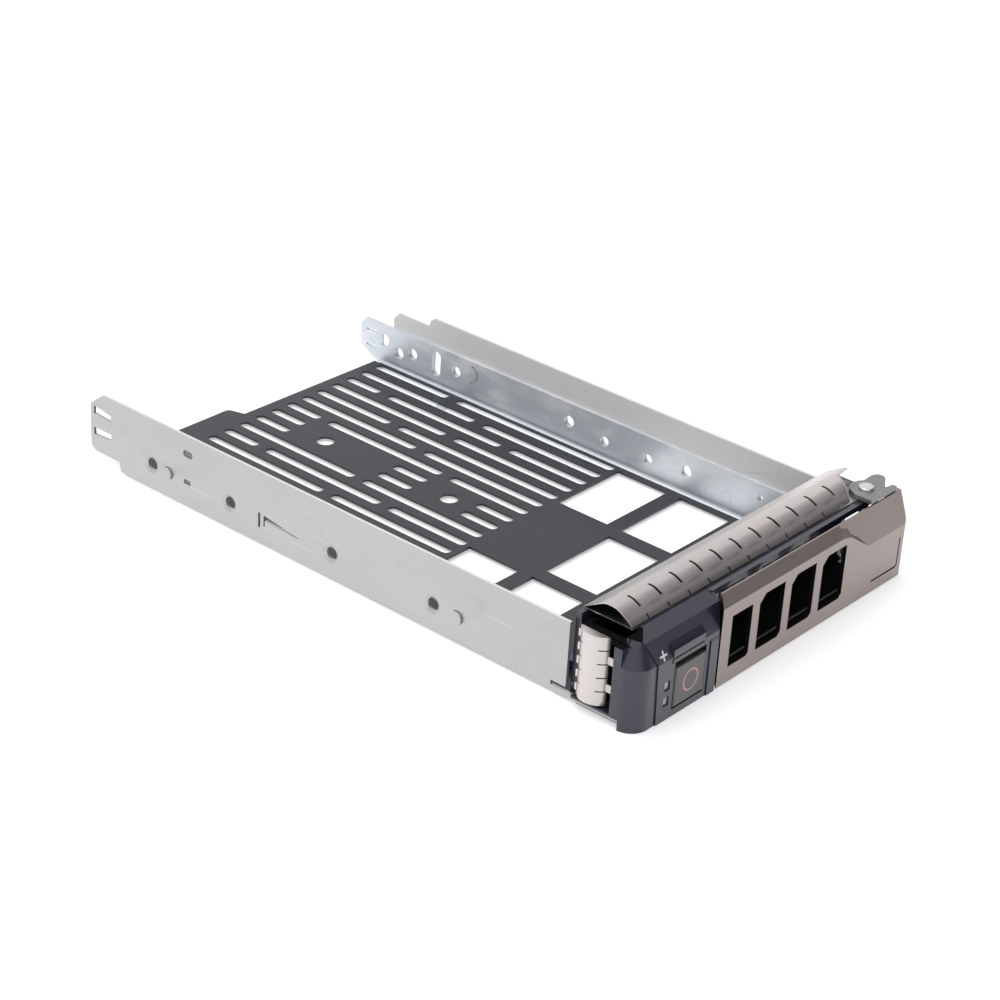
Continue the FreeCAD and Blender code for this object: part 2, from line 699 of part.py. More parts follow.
def hinge_plate_blank(growth, height):
    """The hinge plate's solid from its lower side up, grown all round by a fit."""
    px = pivot_x
    py = pivot_y
    low = bezel_height - hinge_plate_t
    outline = [
        (px - 3.0, py), (px - 3.0, py + 4.4), (px + 0.6, py + 9.8), (px + 2.2, py + 9.8),
        (px + 2.2, notch_rear_y + 0.8), (px - 0.6, notch_rear_y + 0.8), (px - 0.6, py)]
    face = Part.Face(Part.makePolygon([V(x, y, low) for x, y in outline + outline[:1]]))
    if growth:
        face = face.makeOffset2D(growth)
    disc = rod(3.0 + growth, (px, py, low), (px, py, low + height))
    return disc.fuse(face.extrude(V(0, 0, height))).removeSplitter()


def hinge_plate():
    """Steel plate let into the roof that holds the top of the hinge pin."""
    blank = hinge_plate_blank(0, hinge_plate_t)
    return blank.cut(rod(pin_r + pin_fit, (pivot_x, pivot_y, 0),
                         (pivot_x, pivot_y, bezel_height + 1)))


def tray_sheet(x, front_y, corner_r, z):
    """Floor or roof behind the handle, rounded about the hinge and notched beside it."""
    main = box((x[0], pivot_x), (front_y, bezel_rear_y), z)
    corner = rod(corner_r, (pivot_x, pivot_y, z[0]), (pivot_x, pivot_y, z[1]))
    side = box((pivot_x, x[1]), (notch_rear_y, bezel_rear_y), z)
    return main.fuse([corner, side]).removeSplitter()


def handle_section(top_front_z):
    """Outline of the handle in (y, z): thin front wall, bevelled top and a bottom lip."""
    wall = handle_wall
    edge_y = bevel_top_y + handle_edge_t
    return [
        (bezel_front_y, handle_bottom_z), (bezel_front_y, top_front_z),
        (bevel_top_y, bezel_height), (edge_y, bezel_height), (edge_y, bezel_height - wall),
        (bezel_front_y + wall, top_front_z - wall / 2),
        (bezel_front_y + wall, handle_bottom_z + wall), (handle_lip_y, handle_bottom_z + wall),
        (handle_lip_y, handle_bottom_z),
    ]


def handle_window(index):
    """Outline of one window: two opposite corners are cut off."""
    right = first_window_right_x + index * window_pitch
    left = right - window_width + (2.0 if index == 0 else 0.0)
    low = window_bottom_z
    high = window_top_z - (1.0 if index == 0 else 0.0)
    cut = window_chamfer
    if index == 0:
        return [(left, low), (right - 0.8, low), (right, low + 0.8), (right, high), (left, high)]
    return [(left, low), (right - cut / 2, low), (right, low + cut / 2), (right, high),
            (left + cut, high), (left, high - cut)]


def handle():
    """Swinging front handle with four windows, closed ends and a latch plate on the left."""
    high_front = handle_front_top_z
    edge_y = bevel_top_y + handle_edge_t
    body = side_prism(handle_section(high_front), (handle_left_x, handle_right_x))
    bevel_cut = side_prism([
        (bezel_front_y - 1, bevel_bottom_z), (bezel_front_y, bevel_bottom_z),
        (bevel_top_y, bezel_height), (bevel_top_y, bezel_height + 1),
        (bezel_front_y - 1, bezel_height + 1)], (facet_x[0], handle_right_x + 1))
    backing = side_prism(handle_section(bevel_bottom_z), (facet_x[0], handle_right_x))
    body = body.fuse(backing).cut(bevel_cut.common(facet_region())).removeSplitter()
    end_block = side_prism([
        (bezel_front_y, handle_bottom_z), (bezel_front_y, high_front),
        (bevel_top_y, bezel_height), (edge_y, bezel_height), (edge_y, handle_bottom_z)],
        (handle_left_x, latch_plate_x[1]))
    latch_plate = side_prism([
        (edge_y, handle_bottom_z), (edge_y, bezel_height), (edge_y + 0.6, latch_top_z),
        (hook_y + 2.4, latch_top_z), (hook_y + 2.4, 9.0), (handle_lip_y, 6.0),
        (handle_lip_y, handle_bottom_z)], latch_plate_x)
    right_end = side_prism([
        (bezel_front_y, handle_bottom_z), (bezel_front_y, bevel_bottom_z),
        (bevel_top_y, bezel_height), (end_wall_y - 1.0, bezel_height),
        (end_wall_y, bezel_height - 1.0), (end_wall_y, handle_bottom_z)],
        (handle_right_x - end_wall_t, handle_right_x))
    body = body.fuse([end_block, latch_plate, right_end]).removeSplitter()
    body = round_edges(body, handle_corner_r,
                       edge_at("z", x=handle_right_x, y=bezel_front_y))
    left = handle_left_x - 6
    cutters = [plan_prism([(left, bezel_front_y - 6), (latch_plate_x[0], bevel_top_y),
                           (latch_plate_x[0], -40), (left, -40)], (-1, bezel_height + 1))]
    for index in range(window_count):
        cutters.append(front_prism(handle_window(index), (bezel_front_y - 4, handle_lip_y + 0.4)))
    groove = [(14.4, 3.4), (3.1, 3.4), (2.3, 4.3), (2.3, 12.2), (2.8, 12.2), (2.8, 4.5),
              (3.3, 3.9), (14.4, 3.9)]
    cutters.append(front_prism([(handle_right_x - inset, z) for inset, z in groove],
                               (bezel_front_y - 1, bezel_front_y + 0.5)))
    for place in lever_rivets_at:
        cutters.append(rod(rivet_r + rivet_fit, (lever_wall_x[0] - 1, *place),
                           (handle_right_x + 1, *place)))
    return body.cut(cutters)


def facet_region():
    """The upper right region of the handle in which the wide facet is cut, leaning as it goes in."""
    outline = [
        (facet_x[2], bevel_bottom_z - 2), (facet_x[2], bevel_bottom_z),
        (facet_x[1], bezel_height - 2.7), (facet_x[0], handle_front_top_z),
        (facet_x[0], bezel_height + 6), (handle_right_x + 9, bezel_height + 6),
        (handle_right_x + 9, bevel_bottom_z - 2)]
    start = bezel_front_y - 1
    lean = V(*facet_lean)
    points = [(x - lean.x, start, z - lean.z) for x, z in outline]
    return prism(points, tuple(lean * 7))


def lever():
    """Steel lever at the hinge: two ears on the pin, a side wall and the claw on the upper ear."""
    px = pivot_x
    py = pivot_y
    front = bevel_top_y + 0.3
    upper_z = (ear_bottom_z, ear_top_z)
    lower_z = (bezel_wall + ear_gap, bezel_wall + ear_gap + ear_t)
    wall_x = lever_wall_x
    arm = [(px - 5.0, py + 0.6), (px - 4.8, front), (wall_x[1], front), (wall_x[1], front + 1.3),
           (px + 4.4, py - 3.2), (px + 4.2, py + 1.0)]
    claw = [(px + 1.0, py + 4.2), (px + 3.0, py + 3.0), (px + 7.3, py + 3.2),
            (px + claw_reach - 0.4, py + 2.4), (px + claw_reach, py + 0.9),
            (px + claw_reach - 0.8, py - 0.3), (px + 4.2, py - 3.0), (px, py)]
    hub = rod(ear_r, (px, py, upper_z[0]), (px, py, upper_z[1]))
    upper = hub.fuse([plan_prism(arm, upper_z), plan_prism(claw, upper_z)]).removeSplitter()
    foot_y = roof_front_y
    knee_y = foot_y - 2.9
    low_arm = [(px - 3.2, py), (px - 3.2, foot_y), (wall_x[1], foot_y),
               (wall_x[1], py - 1.2), (px + 3.4, py)]
    lower = rod(ear_r - 0.8, (px, py, lower_z[0]), (px, py, lower_z[1]))
    lower = lower.fuse(plan_prism(low_arm, lower_z)).removeSplitter()
    wall = side_prism([
        (py - 1.2, lower_z[0]), (py - 1.2, bezel_height - 4.0), (front + 1.3, bezel_height - 2.0),
        (front + 1.3, upper_z[1]), (front + 0.4, upper_z[1]), (front + 0.4, bezel_height - 4.6),
        (knee_y, bezel_height - 10.2), (knee_y, 3.4), (foot_y, 3.0), (foot_y, lower_z[0])],
        wall_x)
    whole = upper.fuse([lower, wall]).removeSplitter()
    whole = whole.cut([rod(rivet_r + rivet_fit, (wall_x[0] - 1, *place), (wall_x[1] + 1, *place))
                       for place in lever_rivets_at])
    hole = rod(pin_r + pin_fit, (px, py, 0), (px, py, 30))
    return whole.cut(hole)


def lever_rivets():
    """Rivets that hold the lever's side wall on the handle's right end."""
    solids = []
    inner = lever_wall_x[0]
    for y, z in lever_rivets_at:
        shank = rod(rivet_r, (inner, y, z), (handle_right_x, y, z))
        head = rod(rivet_head_r, (inner - rivet_head_t, y, z), (inner, y, z))
        solids.append(shank.fuse(head).removeSplitter())
    return solids


def handle_pin():
    """Steel pin of the handle's hinge with a round head."""
    shank = rod(pin_r, (pivot_x, pivot_y, 0.5), (pivot_x, pivot_y, ear_top_z + 0.1))
    head = rod(2.1, (pivot_x, pivot_y, ear_top_z + 0.05), (pivot_x, pivot_y, ear_top_z + 0.7))
    head = head.makeFillet(0.4, [edge for edge in head.Edges
                                 if abs(edge.CenterOfMass.z - ear_top_z - 0.7) < 0.01])
    return shank.fuse(head).removeSplitter()


def coil(radius, wire_r, pitch, turns, centre):
    """A helical spring with its first turn starting at the centre's height."""
    helix = Part.makeHelix(pitch, pitch * turns, radius)
    start = V(radius, 0, 0)
    tangent = V(0, 2 * math.pi * radius, pitch)
    ring = Part.Wire(Part.makeCircle(wire_r, start, tangent))
    spring = Part.Wire(helix).makePipeShell([ring], True, True)
    spring.translate(V(*centre))
    return spring


def handle_spring():
    """Torsion spring round the hinge pin that throws the handle open."""
    return coil(2.4, 0.35, 0.95, 6, (pivot_x, pivot_y, 6.0))


def release_button():
    """Rocking release button: face plate, side webs, latch arm and hook in one moulding."""
    x0, x1 = button_x
    z0, z1 = button_z
    front = bezel_front_y
    pivot = (button_pivot_y, button_pivot_z)
    hook_ys = (hook_y - hook_length / 2, hook_y + hook_length / 2)
    hook_z = (latch_top_z + hook_gap, latch_top_z + hook_gap + 1.5)
    face = box((x0, x1), (front, front + 1.5), (z0, z1))
    face = round_edges(face, 0.4, lambda edge: abs(edge.CenterOfMass.y - front) < 0.01)
    hub = rod(button_hub_r, (x0 + 0.4, *pivot), (x1 - 0.4, *pivot))
    neck = box((x0 + 0.4, x1 - 0.4), (front + 1.2, button_pivot_y + 0.6), (z1 - 2.6, z1))
    arm_z = (button_pivot_z - 1.4, button_pivot_z + 1.4)
    arm = box((x1 - 6.0, x1 - 0.6), (button_pivot_y, hook_ys[1]), arm_z)
    hook = box((x1 - 0.8, latch_plate_x[1] - 0.2), hook_ys, hook_z)
    hook_root = box((x1 - 1.6, x1), hook_ys, (arm_z[0], hook_z[1]))
    button = face.fuse([hub, neck, arm, hook, hook_root]).removeSplitter()
    bore = rod(button_pin_r + button_pin_fit, (x0 - 1, *pivot), (x1 + 1, *pivot))
    ring_x = (x0 + x1) / 2 + ring_shift
    seat_y = (front - 1, front + 0.45)
    ring_seat = rod(ring_r, (ring_x, seat_y[0], ring_z), (ring_x, seat_y[1], ring_z))
    ring_core = rod(ring_r - ring_width, (ring_x, seat_y[0], ring_z), (ring_x, seat_y[1], ring_z))
    return button.cut([bore, ring_seat.cut(ring_core)])


def button_ring():
    """Coloured ring laid into the button's face."""
    ring_x = (button_x[0] + button_x[1]) / 2 + ring_shift
    y = (bezel_front_y + 0.02, bezel_front_y + 0.45)
    fit = 0.02
    outer = rod(ring_r - fit, (ring_x, y[0], ring_z), (ring_x, y[1], ring_z))
    inner = rod(ring_r - ring_width + fit, (ring_x, y[0], ring_z), (ring_x, y[1], ring_z))
    return outer.cut(inner)


def button_pin():
    """Steel pin that the button rocks on."""
    return rod(button_pin_r, (button_pin_x[0], button_pivot_y, button_pivot_z),
               (button_pin_x[1], button_pivot_y, button_pivot_z))


def button_spring():
    """Return spring between the latch arm and the roof of the pod."""
    low = button_pivot_z + 1.4
    high = bezel_height - bezel_wall
    wire = 0.25
    turns = 4
    gap = 0.12
    pitch = (high - low - 2 * wire - 2 * gap) / turns
    return coil(1.6, wire, pitch, turns, (button_x[1] - 3.7, hook_y - 3.4, low + wire + gap))


def light_pipe(z):
    """Clear pipe from the pod's rear wall to its window in the front."""
    x = (light_window_x[0] + pipe_gap, light_window_x[1] - pipe_gap)
    half = light_window_half - pipe_gap
    pipe = box(x, (pod_front_y + light_recess, pod_rear_y - bezel_wall), (z - half, z + half))
    return round_edges(pipe, 0.3, edge_at("y", x=x[0]))


def top_spring():
    """Folded gasket strip on the bezel's roof: flat leaf below, slit hump above."""
    left = spring_left_x
    front = spring_front_y
    upper = [V(left, y, spring_base_z + height + strip_t) for y, height in spring_profile]
    lower = [point - V(0, 0, strip_t) for point in upper]
    curves = []
    for points in (upper, lower):
        curve = Part.BSplineCurve()
        curve.interpolate(points)
        curves.append(curve.toShape())
    wire = Part.Wire([curves[0], Part.makeLine(upper[-1], lower[-1]), curves[1],
                      Part.makeLine(lower[0], upper[0])])
    length = spring_right_rear_x + 5.0 - left
    arch = Part.Face(wire).extrude(V(length, 0, 0))
    leaf_z = (bezel_height, spring_base_z)
    leaf = box((left, left + length), (front, spring_rear_y), leaf_z)
    rear_fold = box((left, left + length), (spring_profile[-1][0] - 0.2, spring_rear_y),
                    (bezel_height, upper[-1].z))
    front_fold = box((left, left + length), (front, spring_profile[0][0] + 0.1),
                     (bezel_height, upper[0].z))
    strip = arch.fuse([leaf, rear_fold, front_fold]).removeSplitter()
    slope = [(spring_right_rear_x, spring_rear_y - 2.4), (spring_right_front_x, front - 0.5),
             (overall_right_x + 1, front - 0.5), (overall_right_x + 1, spring_rear_y - 2.4)]
    cutters = [plan_prism(slope, (bezel_height - 1, spring_base_z + 10))]
    above_leaf = (spring_base_z + 0.05, spring_base_z + 10)
    gap_z = (spring_base_z + 0.05, spring_base_z + 0.45)
    for index in range(finger_count):
        x = first_finger_x + index * finger_pitch
        cutters.append(box((x, x + finger_slit), (front + 3.4, front + 7.2), above_leaf))
        cutters.append(box((x + 0.2, x + 0.6), (front - 1, front + 1.3), above_leaf))
        if index % 2:
            cutters.append(box((x + 0.4, x + finger_pitch - 1.2), (front - 1, front + 0.5), gap_z))
    return strip.cut(cutters)


def side_spring():
    """Bulged contact spring with slit fingers on the bezel's left side."""
    low, high = side_spring_z
    front = side_spring_front_y
    rear = pod_rear_y - 0.2
    wall_x = side_pocket_x
    middle = (front + rear) / 2
    crest = -side_spring_bulge
    outer = [V(wall_x, front, low), V(crest, middle, low), V(wall_x, rear, low)]
    inner = [V(wall_x, front + 0.3, low), V(crest + strip_t, middle, low),
             V(wall_x, rear - 0.3, low)]
    wire = Part.Wire([Part.Arc(*outer).toShape(), Part.makeLine(outer[2], inner[2]),
                      Part.Arc(*inner[::-1]).toShape(), Part.makeLine(inner[0], outer[0])])
    strip = Part.Face(wire).extrude(V(0, 0, high - low))
    step = (high - low) / side_fingers
    tabs = [box((wall_x - strip_t, wall_x), (side_pocket_y + 0.05, front + 0.15), (z, z + 2.4))
            for z in (low + step, low + 3 * step)]
    beads = [box((wall_x - 2 * strip_t, wall_x), (rear - 0.4, rear + 0.15), (z, z + 2.0))
             for z in (low + (index + 0.2) * step for index in range(side_fingers))]
    lid_wire = Part.Wire([Part.Arc(*outer).toShape(), Part.makeLine(outer[2], outer[0])])
    lid = Part.Face(lid_wire).extrude(V(0, 0, strip_t))
    lid.translate(V(0, 0, high - low - strip_t))
    strip = strip.fuse(tabs + beads + [lid]).removeSplitter()
    cutters = []
    for index in range(1, side_fingers):
        z = low + index * step
        cutters.append(box((-5, 1), (front - 3, front + 2.0), (z, z + side_slit)))
        cutters.append(box((-5, 1), (rear - 2.4, rear - 0.8), (z + 0.2, z + 0.2 + side_slit)))
    return strip.cut(cutters)


def bezel_screws():
    """Screws from below that hold the bezel's tongue on the plate."""
    solids = []
    for x, y in plate_screws_at:
        shank = rod(1.28, (x, y, plate_bottom_z - 0.01), (x, y, plate_top_z + tongue_t - 0.3))
        head = Part.makeCone(2.6, 1.6, 0.7, V(x, y, 0.1), V(0, 0, 1))
        solids.append(shank.fuse(head).removeSplitter())
    return solids


def vent_screen():
    """Perforated steel screen on the inner face of the bezel's rear wall."""
    y = bezel_rear_y - bezel_wall
    x_range = (screen_left_x, bezel_right_x - 3.4)
    screen = box(x_range, (y - screen_t, y), (screen_bottom_z, screen_top_z))
    cutters = []
    step = (x_range[1] - x_range[0]) / screen_bars
    for column in range(screen_bars):
        for row in range(screen_rows):
            x = x_range[0] + step * (column + 0.5)
            z = vent_bottom_z - 0.2 + row * screen_row_pitch
            hole_x = (x - screen_hole / 2, x + screen_hole / 2)
            cutters.append(box(hole_x, (y - 2, y + 1), (z, z + screen_hole)))
    return screen.cut(cutters)


def write(name, shape):
    """Moves a finished piece to the part's origin and writes it."""
    solids = shape if isinstance(shape, list) else [shape]
    whole = Part.makeCompound(solids) if len(solids) > 1 else solids[0]
    if whole.ShapeType == "Compound" and len(whole.Solids) == 1:
        whole = whole.Solids[0]
    whole.translate(origin * -1)
    whole.exportStep("parts/" + name + ".step")
    print(name, len(whole.Solids), round(whole.Volume, 1), whole.isValid())


os.makedirs("parts", exist_ok=True)
write("left_rail", left_rail())
write("right_outer_rail", right_outer_rail())
write("right_inner_rail", right_inner_rail())
write("base_plate", base_plate())
write("left_rivets", plate_rivets(left_rivets_at))
write("right_rivets", plate_rivets(right_rivets_at))
write("wall_rivets", wall_rivets())
write("bezel", bezel())
write("bezel_screws", bezel_screws())
write("hinge_plate", hinge_plate())
write("vent_screen", vent_screen())
write("top_spring", top_spring())
write("side_spring", side_spring())
write("light_pipe_upper", light_pipe(light_windows_z[1]))
write("light_pipe_lower", light_pipe(light_windows_z[0]))
write("handle", handle())
write("hinge_lever", lever())
write("lever_rivets", lever_rivets())
write("handle_pin", handle_pin())
write("handle_spring", handle_spring())
write("release_button", release_button())
write("button_ring", button_ring())
write("button_pin", button_pin())
write("button_spring", button_spring())
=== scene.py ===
import bpy
import bmesh
import math
from mathutils import Matrix, Vector
from mathutils.bvhtree import BVHTree


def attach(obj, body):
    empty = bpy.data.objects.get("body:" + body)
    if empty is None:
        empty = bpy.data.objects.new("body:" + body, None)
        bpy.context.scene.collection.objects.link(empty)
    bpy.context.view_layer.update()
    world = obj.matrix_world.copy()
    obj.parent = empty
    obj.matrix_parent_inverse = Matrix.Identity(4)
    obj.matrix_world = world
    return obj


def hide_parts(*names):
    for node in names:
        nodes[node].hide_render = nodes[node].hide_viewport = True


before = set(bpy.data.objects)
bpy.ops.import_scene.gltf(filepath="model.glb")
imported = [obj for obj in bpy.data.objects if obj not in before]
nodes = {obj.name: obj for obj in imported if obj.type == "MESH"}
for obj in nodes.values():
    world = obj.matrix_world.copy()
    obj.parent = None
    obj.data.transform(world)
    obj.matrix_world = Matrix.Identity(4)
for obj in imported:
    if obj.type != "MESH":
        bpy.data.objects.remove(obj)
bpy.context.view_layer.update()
MM = 0.001

# Left and right outer rails. Each is one strip of cold rolled steel, pressed and folded, with a
# faint grain along its length, dull smudges from handling and edges rounded by the press.


class Signal:
    """One output of a material's node. Arithmetic on it adds Math nodes."""

    def __init__(self, finish, socket):
        self.finish = finish
        self.socket = socket

    def _with(self, operation, first, second):
        return self.finish.node("Math", {"operation": operation}, {0: first, 1: second})

    def __add__(self, other):
        return self._with("ADD", self, other)

    __radd__ = __add__

    def __sub__(self, other):
        return self._with("SUBTRACT", self, other)

    def __rsub__(self, other):
        return self._with("SUBTRACT", other, self)

    def __mul__(self, other):
        return self._with("MULTIPLY", self, other)

    __rmul__ = __mul__

    def over(self, low, high):
        """0 below low, 1 above high and smooth between them."""
        settings = {"interpolation_type": "SMOOTHSTEP"}
        values = {"Value": self, "From Min": low, "From Max": high}
        return self.finish.node("MapRange", settings, values)


class Finish:
    """A material under construction, with its Principled shader."""

    def __init__(self, name):
        self.material = bpy.data.materials.new(name)
        self.material.use_nodes = True
        self.tree = self.material.node_tree
        self.tree.nodes.clear()
        self.shader = self.tree.nodes.new("ShaderNodeBsdfPrincipled")
        output = self.tree.nodes.new("ShaderNodeOutputMaterial")
        self.tree.links.new(self.shader.outputs[0], output.inputs["Surface"])

    def feed(self, socket, value):
        """Links a signal to a socket, or sets the socket to a plain value."""
        if isinstance(value, Signal):
            self.tree.links.new(value.socket, socket)
        else:
            socket.default_value = value

    def node(self, kind, settings, values, output=0):
        """Adds a node: its settings come first, then the values or links of its sockets."""
        made = self.tree.nodes.new("ShaderNode" + kind)
        for name, value in settings.items():
            setattr(made, name, value)
        for name, value in values.items():
            self.feed(made.inputs[name], value)
        return Signal(self, made.outputs[output])

    def place(self, stretch=(1, 1, 1)):
        """The point on the object in millimetres, stretched for a directional texture."""
        point = self.node("TexCoord", {}, {}, "Object")
        scale = [1 / MM * share for share in stretch]
        return self.node("VectorMath", {"operation": "MULTIPLY"}, {0: point, 1: scale})

    def along(self, axis):
        """One coordinate of the point on the object, in millimetres."""
        return self.node("SeparateXYZ", {}, {0: self.place()}, axis)

    def noise(self, size_mm, stretch=(1, 1, 1), detail=3.0, roughness=0.55):
        """Cloudy texture whose features are about size_mm across, from 0 to 1."""
        values = {"Vector": self.place(stretch), "Scale": 1 / size_mm, "Detail": detail,
                  "Roughness": roughness}
        return self.node("TexNoise", {}, values, "Fac")

    def mix(self, mask, first, second):
        """A colour between two others."""
        values = {0: mask, 6: first, 7: second}
        return self.node("Mix", {"data_type": "RGBA"}, values, 2)

    def bump(self, height, depth_mm, strength=1.0):
        """A surface normal from a height."""
        values = {"Height": height, "Distance": depth_mm * MM, "Strength": strength}
        return self.node("Bump", {}, values)

    def wear(self, **sockets):
        """Sets the shader's sockets and returns the finished material."""
        for name, value in sockets.items():
            self.feed(self.shader.inputs[name.replace("_", " ")], value)
        return self.material


def rgb(red, green, blue):
    """A colour with full opacity, in linear light."""
    return (red, green, blue, 1.0)


same_place_mm = 0.001


def mark_creases(mesh, angle):
    """Marks the edges where the surface turns, going by the normals on both sides of each."""
    places = {}
    for polygon in mesh.polygons:
        loops = list(polygon.loop_indices)
        for here, after in zip(loops, loops[1:] + loops[:1]):
            ends = []
            for loop in (here, after):
                point = mesh.vertices[mesh.loops[loop].vertex_index].co
                spot = tuple(round(value / (same_place_mm * MM)) for value in point)
                ends.append((spot, mesh.corner_normals[loop].vector.copy()))
            ends.sort(key=lambda end: end[0])
            key = (ends[0][0], ends[1][0])
            places.setdefault(key, []).append((mesh.loops[here].edge_index, ends))
    sharp = mesh.attributes["sharp_edge"]
    for meetings in places.values():
        first = meetings[0][1]
        turns = any(first[end][1].angle(other[end][1], 0.0) > angle
                    for _, other in meetings[1:] for end in (0, 1))
        for edge, _ in meetings:
            sharp.data[edge].value = turns


crease_angle = math.radians(4)
rounded_angle = math.radians(38)
weld_mm = 0.002
flat_face_weight = 80


def dress(node_name, material, edge_mm=0.0):
    """Gives a CAD node its material and, with an edge size, crisp creases and rounded edges."""
    piece = nodes[node_name]
    mesh = piece.data
    mesh.materials.clear()
    mesh.materials.append(material)
    if not edge_mm:
        return
    mark_creases(mesh, crease_angle)
    mesh.attributes.remove(mesh.attributes["custom_normal"])
    mesh.shade_smooth()
    weld = piece.modifiers.new("weld", "WELD")
    weld.merge_threshold = weld_mm * MM
    bevel = piece.modifiers.new("edge", "BEVEL")
    bevel.width = edge_mm * MM
    bevel.segments = 2
    bevel.limit_method = "ANGLE"
    bevel.angle_limit = rounded_angle
    weighted = piece.modifiers.new("normals", "WEIGHTED_NORMAL")
    weighted.keep_sharp = True
    weighted.weight = flat_face_weight


# Places are given in millimetres from the front left drive screw: x to the right from the outer
# face of the left rail, y to the rear, z up from the table.
DATUM = Vector((-54.7, -30.0, 0.0))
LEFT = (-1, 0, 0)
FRONT = (0, -1, 0)
REAR = (0, 1, 0)
UP = (0, 0, 1)
DOWN = (0, 0, -1)
ray_lift_mm = 0.01
ray_reach_mm = 30
faces_that_way = 0.5
faces_away = 0.3


def paint(node_name, material, low, high, facing=None, shown=(0, 0, 0)):
    """Gives another finish to faces whose middle lies in a box. Without a direction to face,
    those that look at another face of the node are taken, except the ones that face shown."""
    mesh = nodes[node_name].data
    if mesh.materials.find(material.name) < 0:
        mesh.materials.append(material)
    slot = mesh.materials.find(material.name)
    shell = BVHTree.FromPolygons([vertex.co for vertex in mesh.vertices],
                                 [tuple(face.vertices) for face in mesh.polygons])
    for face in mesh.polygons:
        middle = face.center / MM - DATUM
        if not all(low[axis] < middle[axis] < high[axis] for axis in range(3)):
            continue
        if facing:
            taken = face.normal.dot(Vector(facing)) > faces_that_way
        else:
            start = face.center + face.normal * ray_lift_mm * MM
            hit = shell.ray_cast(start, face.normal, ray_reach_mm * MM)[0]
            taken = hit is not None and face.normal.dot(Vector(shown)) < faces_away
        if taken:
            face.material_index = slot


def rolled_steel(name, dark, light, metallic, roughness):
    """Cold rolled steel with grain along the rail, handling marks and a few fine scratches."""
    finish = Finish(name)
    grain = finish.noise(0.3, (1, 0.02, 1), 4.0)
    cloud = finish.noise(26, (1, 0.6, 1), 3.0)
    smudge = finish.noise(7, (1, 0.4, 1), 5.0, 0.65).over(0.55, 0.75)
    scratch = finish.noise(1.1, (1, 0.03, 1.6), 2.0).over(0.68, 0.72)
    tint = finish.mix(cloud, dark, light)
    tint = finish.mix(smudge * 0.22, tint, [channel * 0.8 for channel in dark[:3]] + [1.0])
    tint = finish.mix(scratch * 0.3, tint, rgb(0.78, 0.78, 0.78))
    return finish.wear(
        Base_Color=tint, Metallic=metallic, Roughness=roughness + grain * 0.1 + smudge * 0.1,
        Normal=finish.bump(grain, 0.015, 0.3))


rail_edge = 0.12
pressed_box = ((0.02, 85.4, 6.8), (0.79, 89.4, 17.6))
rail_top_box = ((-0.1, -60, 18), (0.9, 130, 24))
rail_steel = rolled_steel(
    "rail_steel", rgb(0.475, 0.459, 0.459), rgb(0.568, 0.552, 0.552), 0.7, 0.34)
dress("left_rail", rail_steel, rail_edge)
# Faces inside the pressed marks are painted dark: painted shade in the recesses.
pressed = rolled_steel("pressed_recess_shade", rgb(0.2, 0.2, 0.2), rgb(0.3, 0.3, 0.3), 0.6, 0.5)
paint("left_rail", pressed, *pressed_box, LEFT)
# The top faces of the left rail are painted paler: a painted highlight along the top edge.
rail_top_highlight = rolled_steel("rail_top_highlight", rgb(0.8, 0.78, 0.77), rgb(0.88, 0.86, 0.85), 0.5, 0.3)
paint("left_rail", rail_top_highlight, *rail_top_box, UP)
wall_steel = rolled_steel("wall_steel", rgb(0.73, 0.72, 0.71), rgb(0.80, 0.79, 0.78), 0.3, 0.55)
dress("right_outer_rail", wall_steel, rail_edge)

# Right inner rail. The angle is zinc plated and passivated, so it is bluer than the outer wall,
# with cloudy patches where the plating took unevenly. Its flange beside the plate is painted dark:
# painted shade between the plate and the wall.
flange_box = ((98, -60, 0.5), (103.6, 130, 1.1))


def zinc_plate():
    """Passivated zinc plating."""
    finish = Finish("zinc_plate")
    cloud = finish.noise(18, (1, 0.45, 1), 4.0)
    patch = finish.noise(7, (1, 0.5, 1), 4.0, 0.6).over(0.46, 0.66)
    grain = finish.noise(0.3, (1, 0.05, 1), 3.0)
    tint = finish.mix(cloud, rgb(0.56, 0.62, 0.68), rgb(0.86, 0.89, 0.92))
    tint = finish.mix(patch * 0.7, tint, rgb(0.90, 0.91, 0.93))
    return finish.wear(
        Base_Color=tint, Metallic=0.6, Roughness=0.36 + patch * 0.12 + grain * 0.08,
        Normal=finish.bump(grain, 0.012, 0.25))


zinc = zinc_plate()
dress("right_inner_rail", zinc, rail_edge)
# Painted shade: the flange top between the plate and the wall is painted dark.
zinc_shade = rolled_steel("zinc_shade", rgb(0.05, 0.06, 0.07), rgb(0.09, 0.1, 0.115), 0.3, 0.5)
paint("right_inner_rail", zinc_shade, *flange_box, UP)
dress("wall_rivets", zinc)

# Base plate, the rivets flush with it and the vent screen. Punched sheet steel with a satin black
# paint that has a fine orange peel and paler, dusty places where drives have slid over it.
plate_edge = 0.1


def plate_paint():
    """Satin black paint on sheet steel."""
    finish = Finish("plate_paint")
    peel = finish.noise(0.6, (1, 1, 1), 2.0)
    dust = finish.noise(11, (1, 0.3, 1), 5.0, 0.6).over(0.45, 0.8)
    rub = finish.noise(2.2, (1, 0.05, 1), 3.0).over(0.62, 0.74)
    tint = finish.mix(dust * 0.6, rgb(0.016, 0.016, 0.025), rgb(0.040, 0.040, 0.056))
    tint = finish.mix(rub * 0.25, tint, rgb(0.09, 0.09, 0.1))
    return finish.wear(
        Base_Color=tint, Roughness=0.36 + dust * 0.12, Coat_Weight=0.08,
        Normal=finish.bump(peel, 0.01, 0.35))


painted = plate_paint()
dress("base_plate", painted, plate_edge)
for covered in ("left_rivets", "right_rivets", "vent_screen"):
    dress(covered, painted)
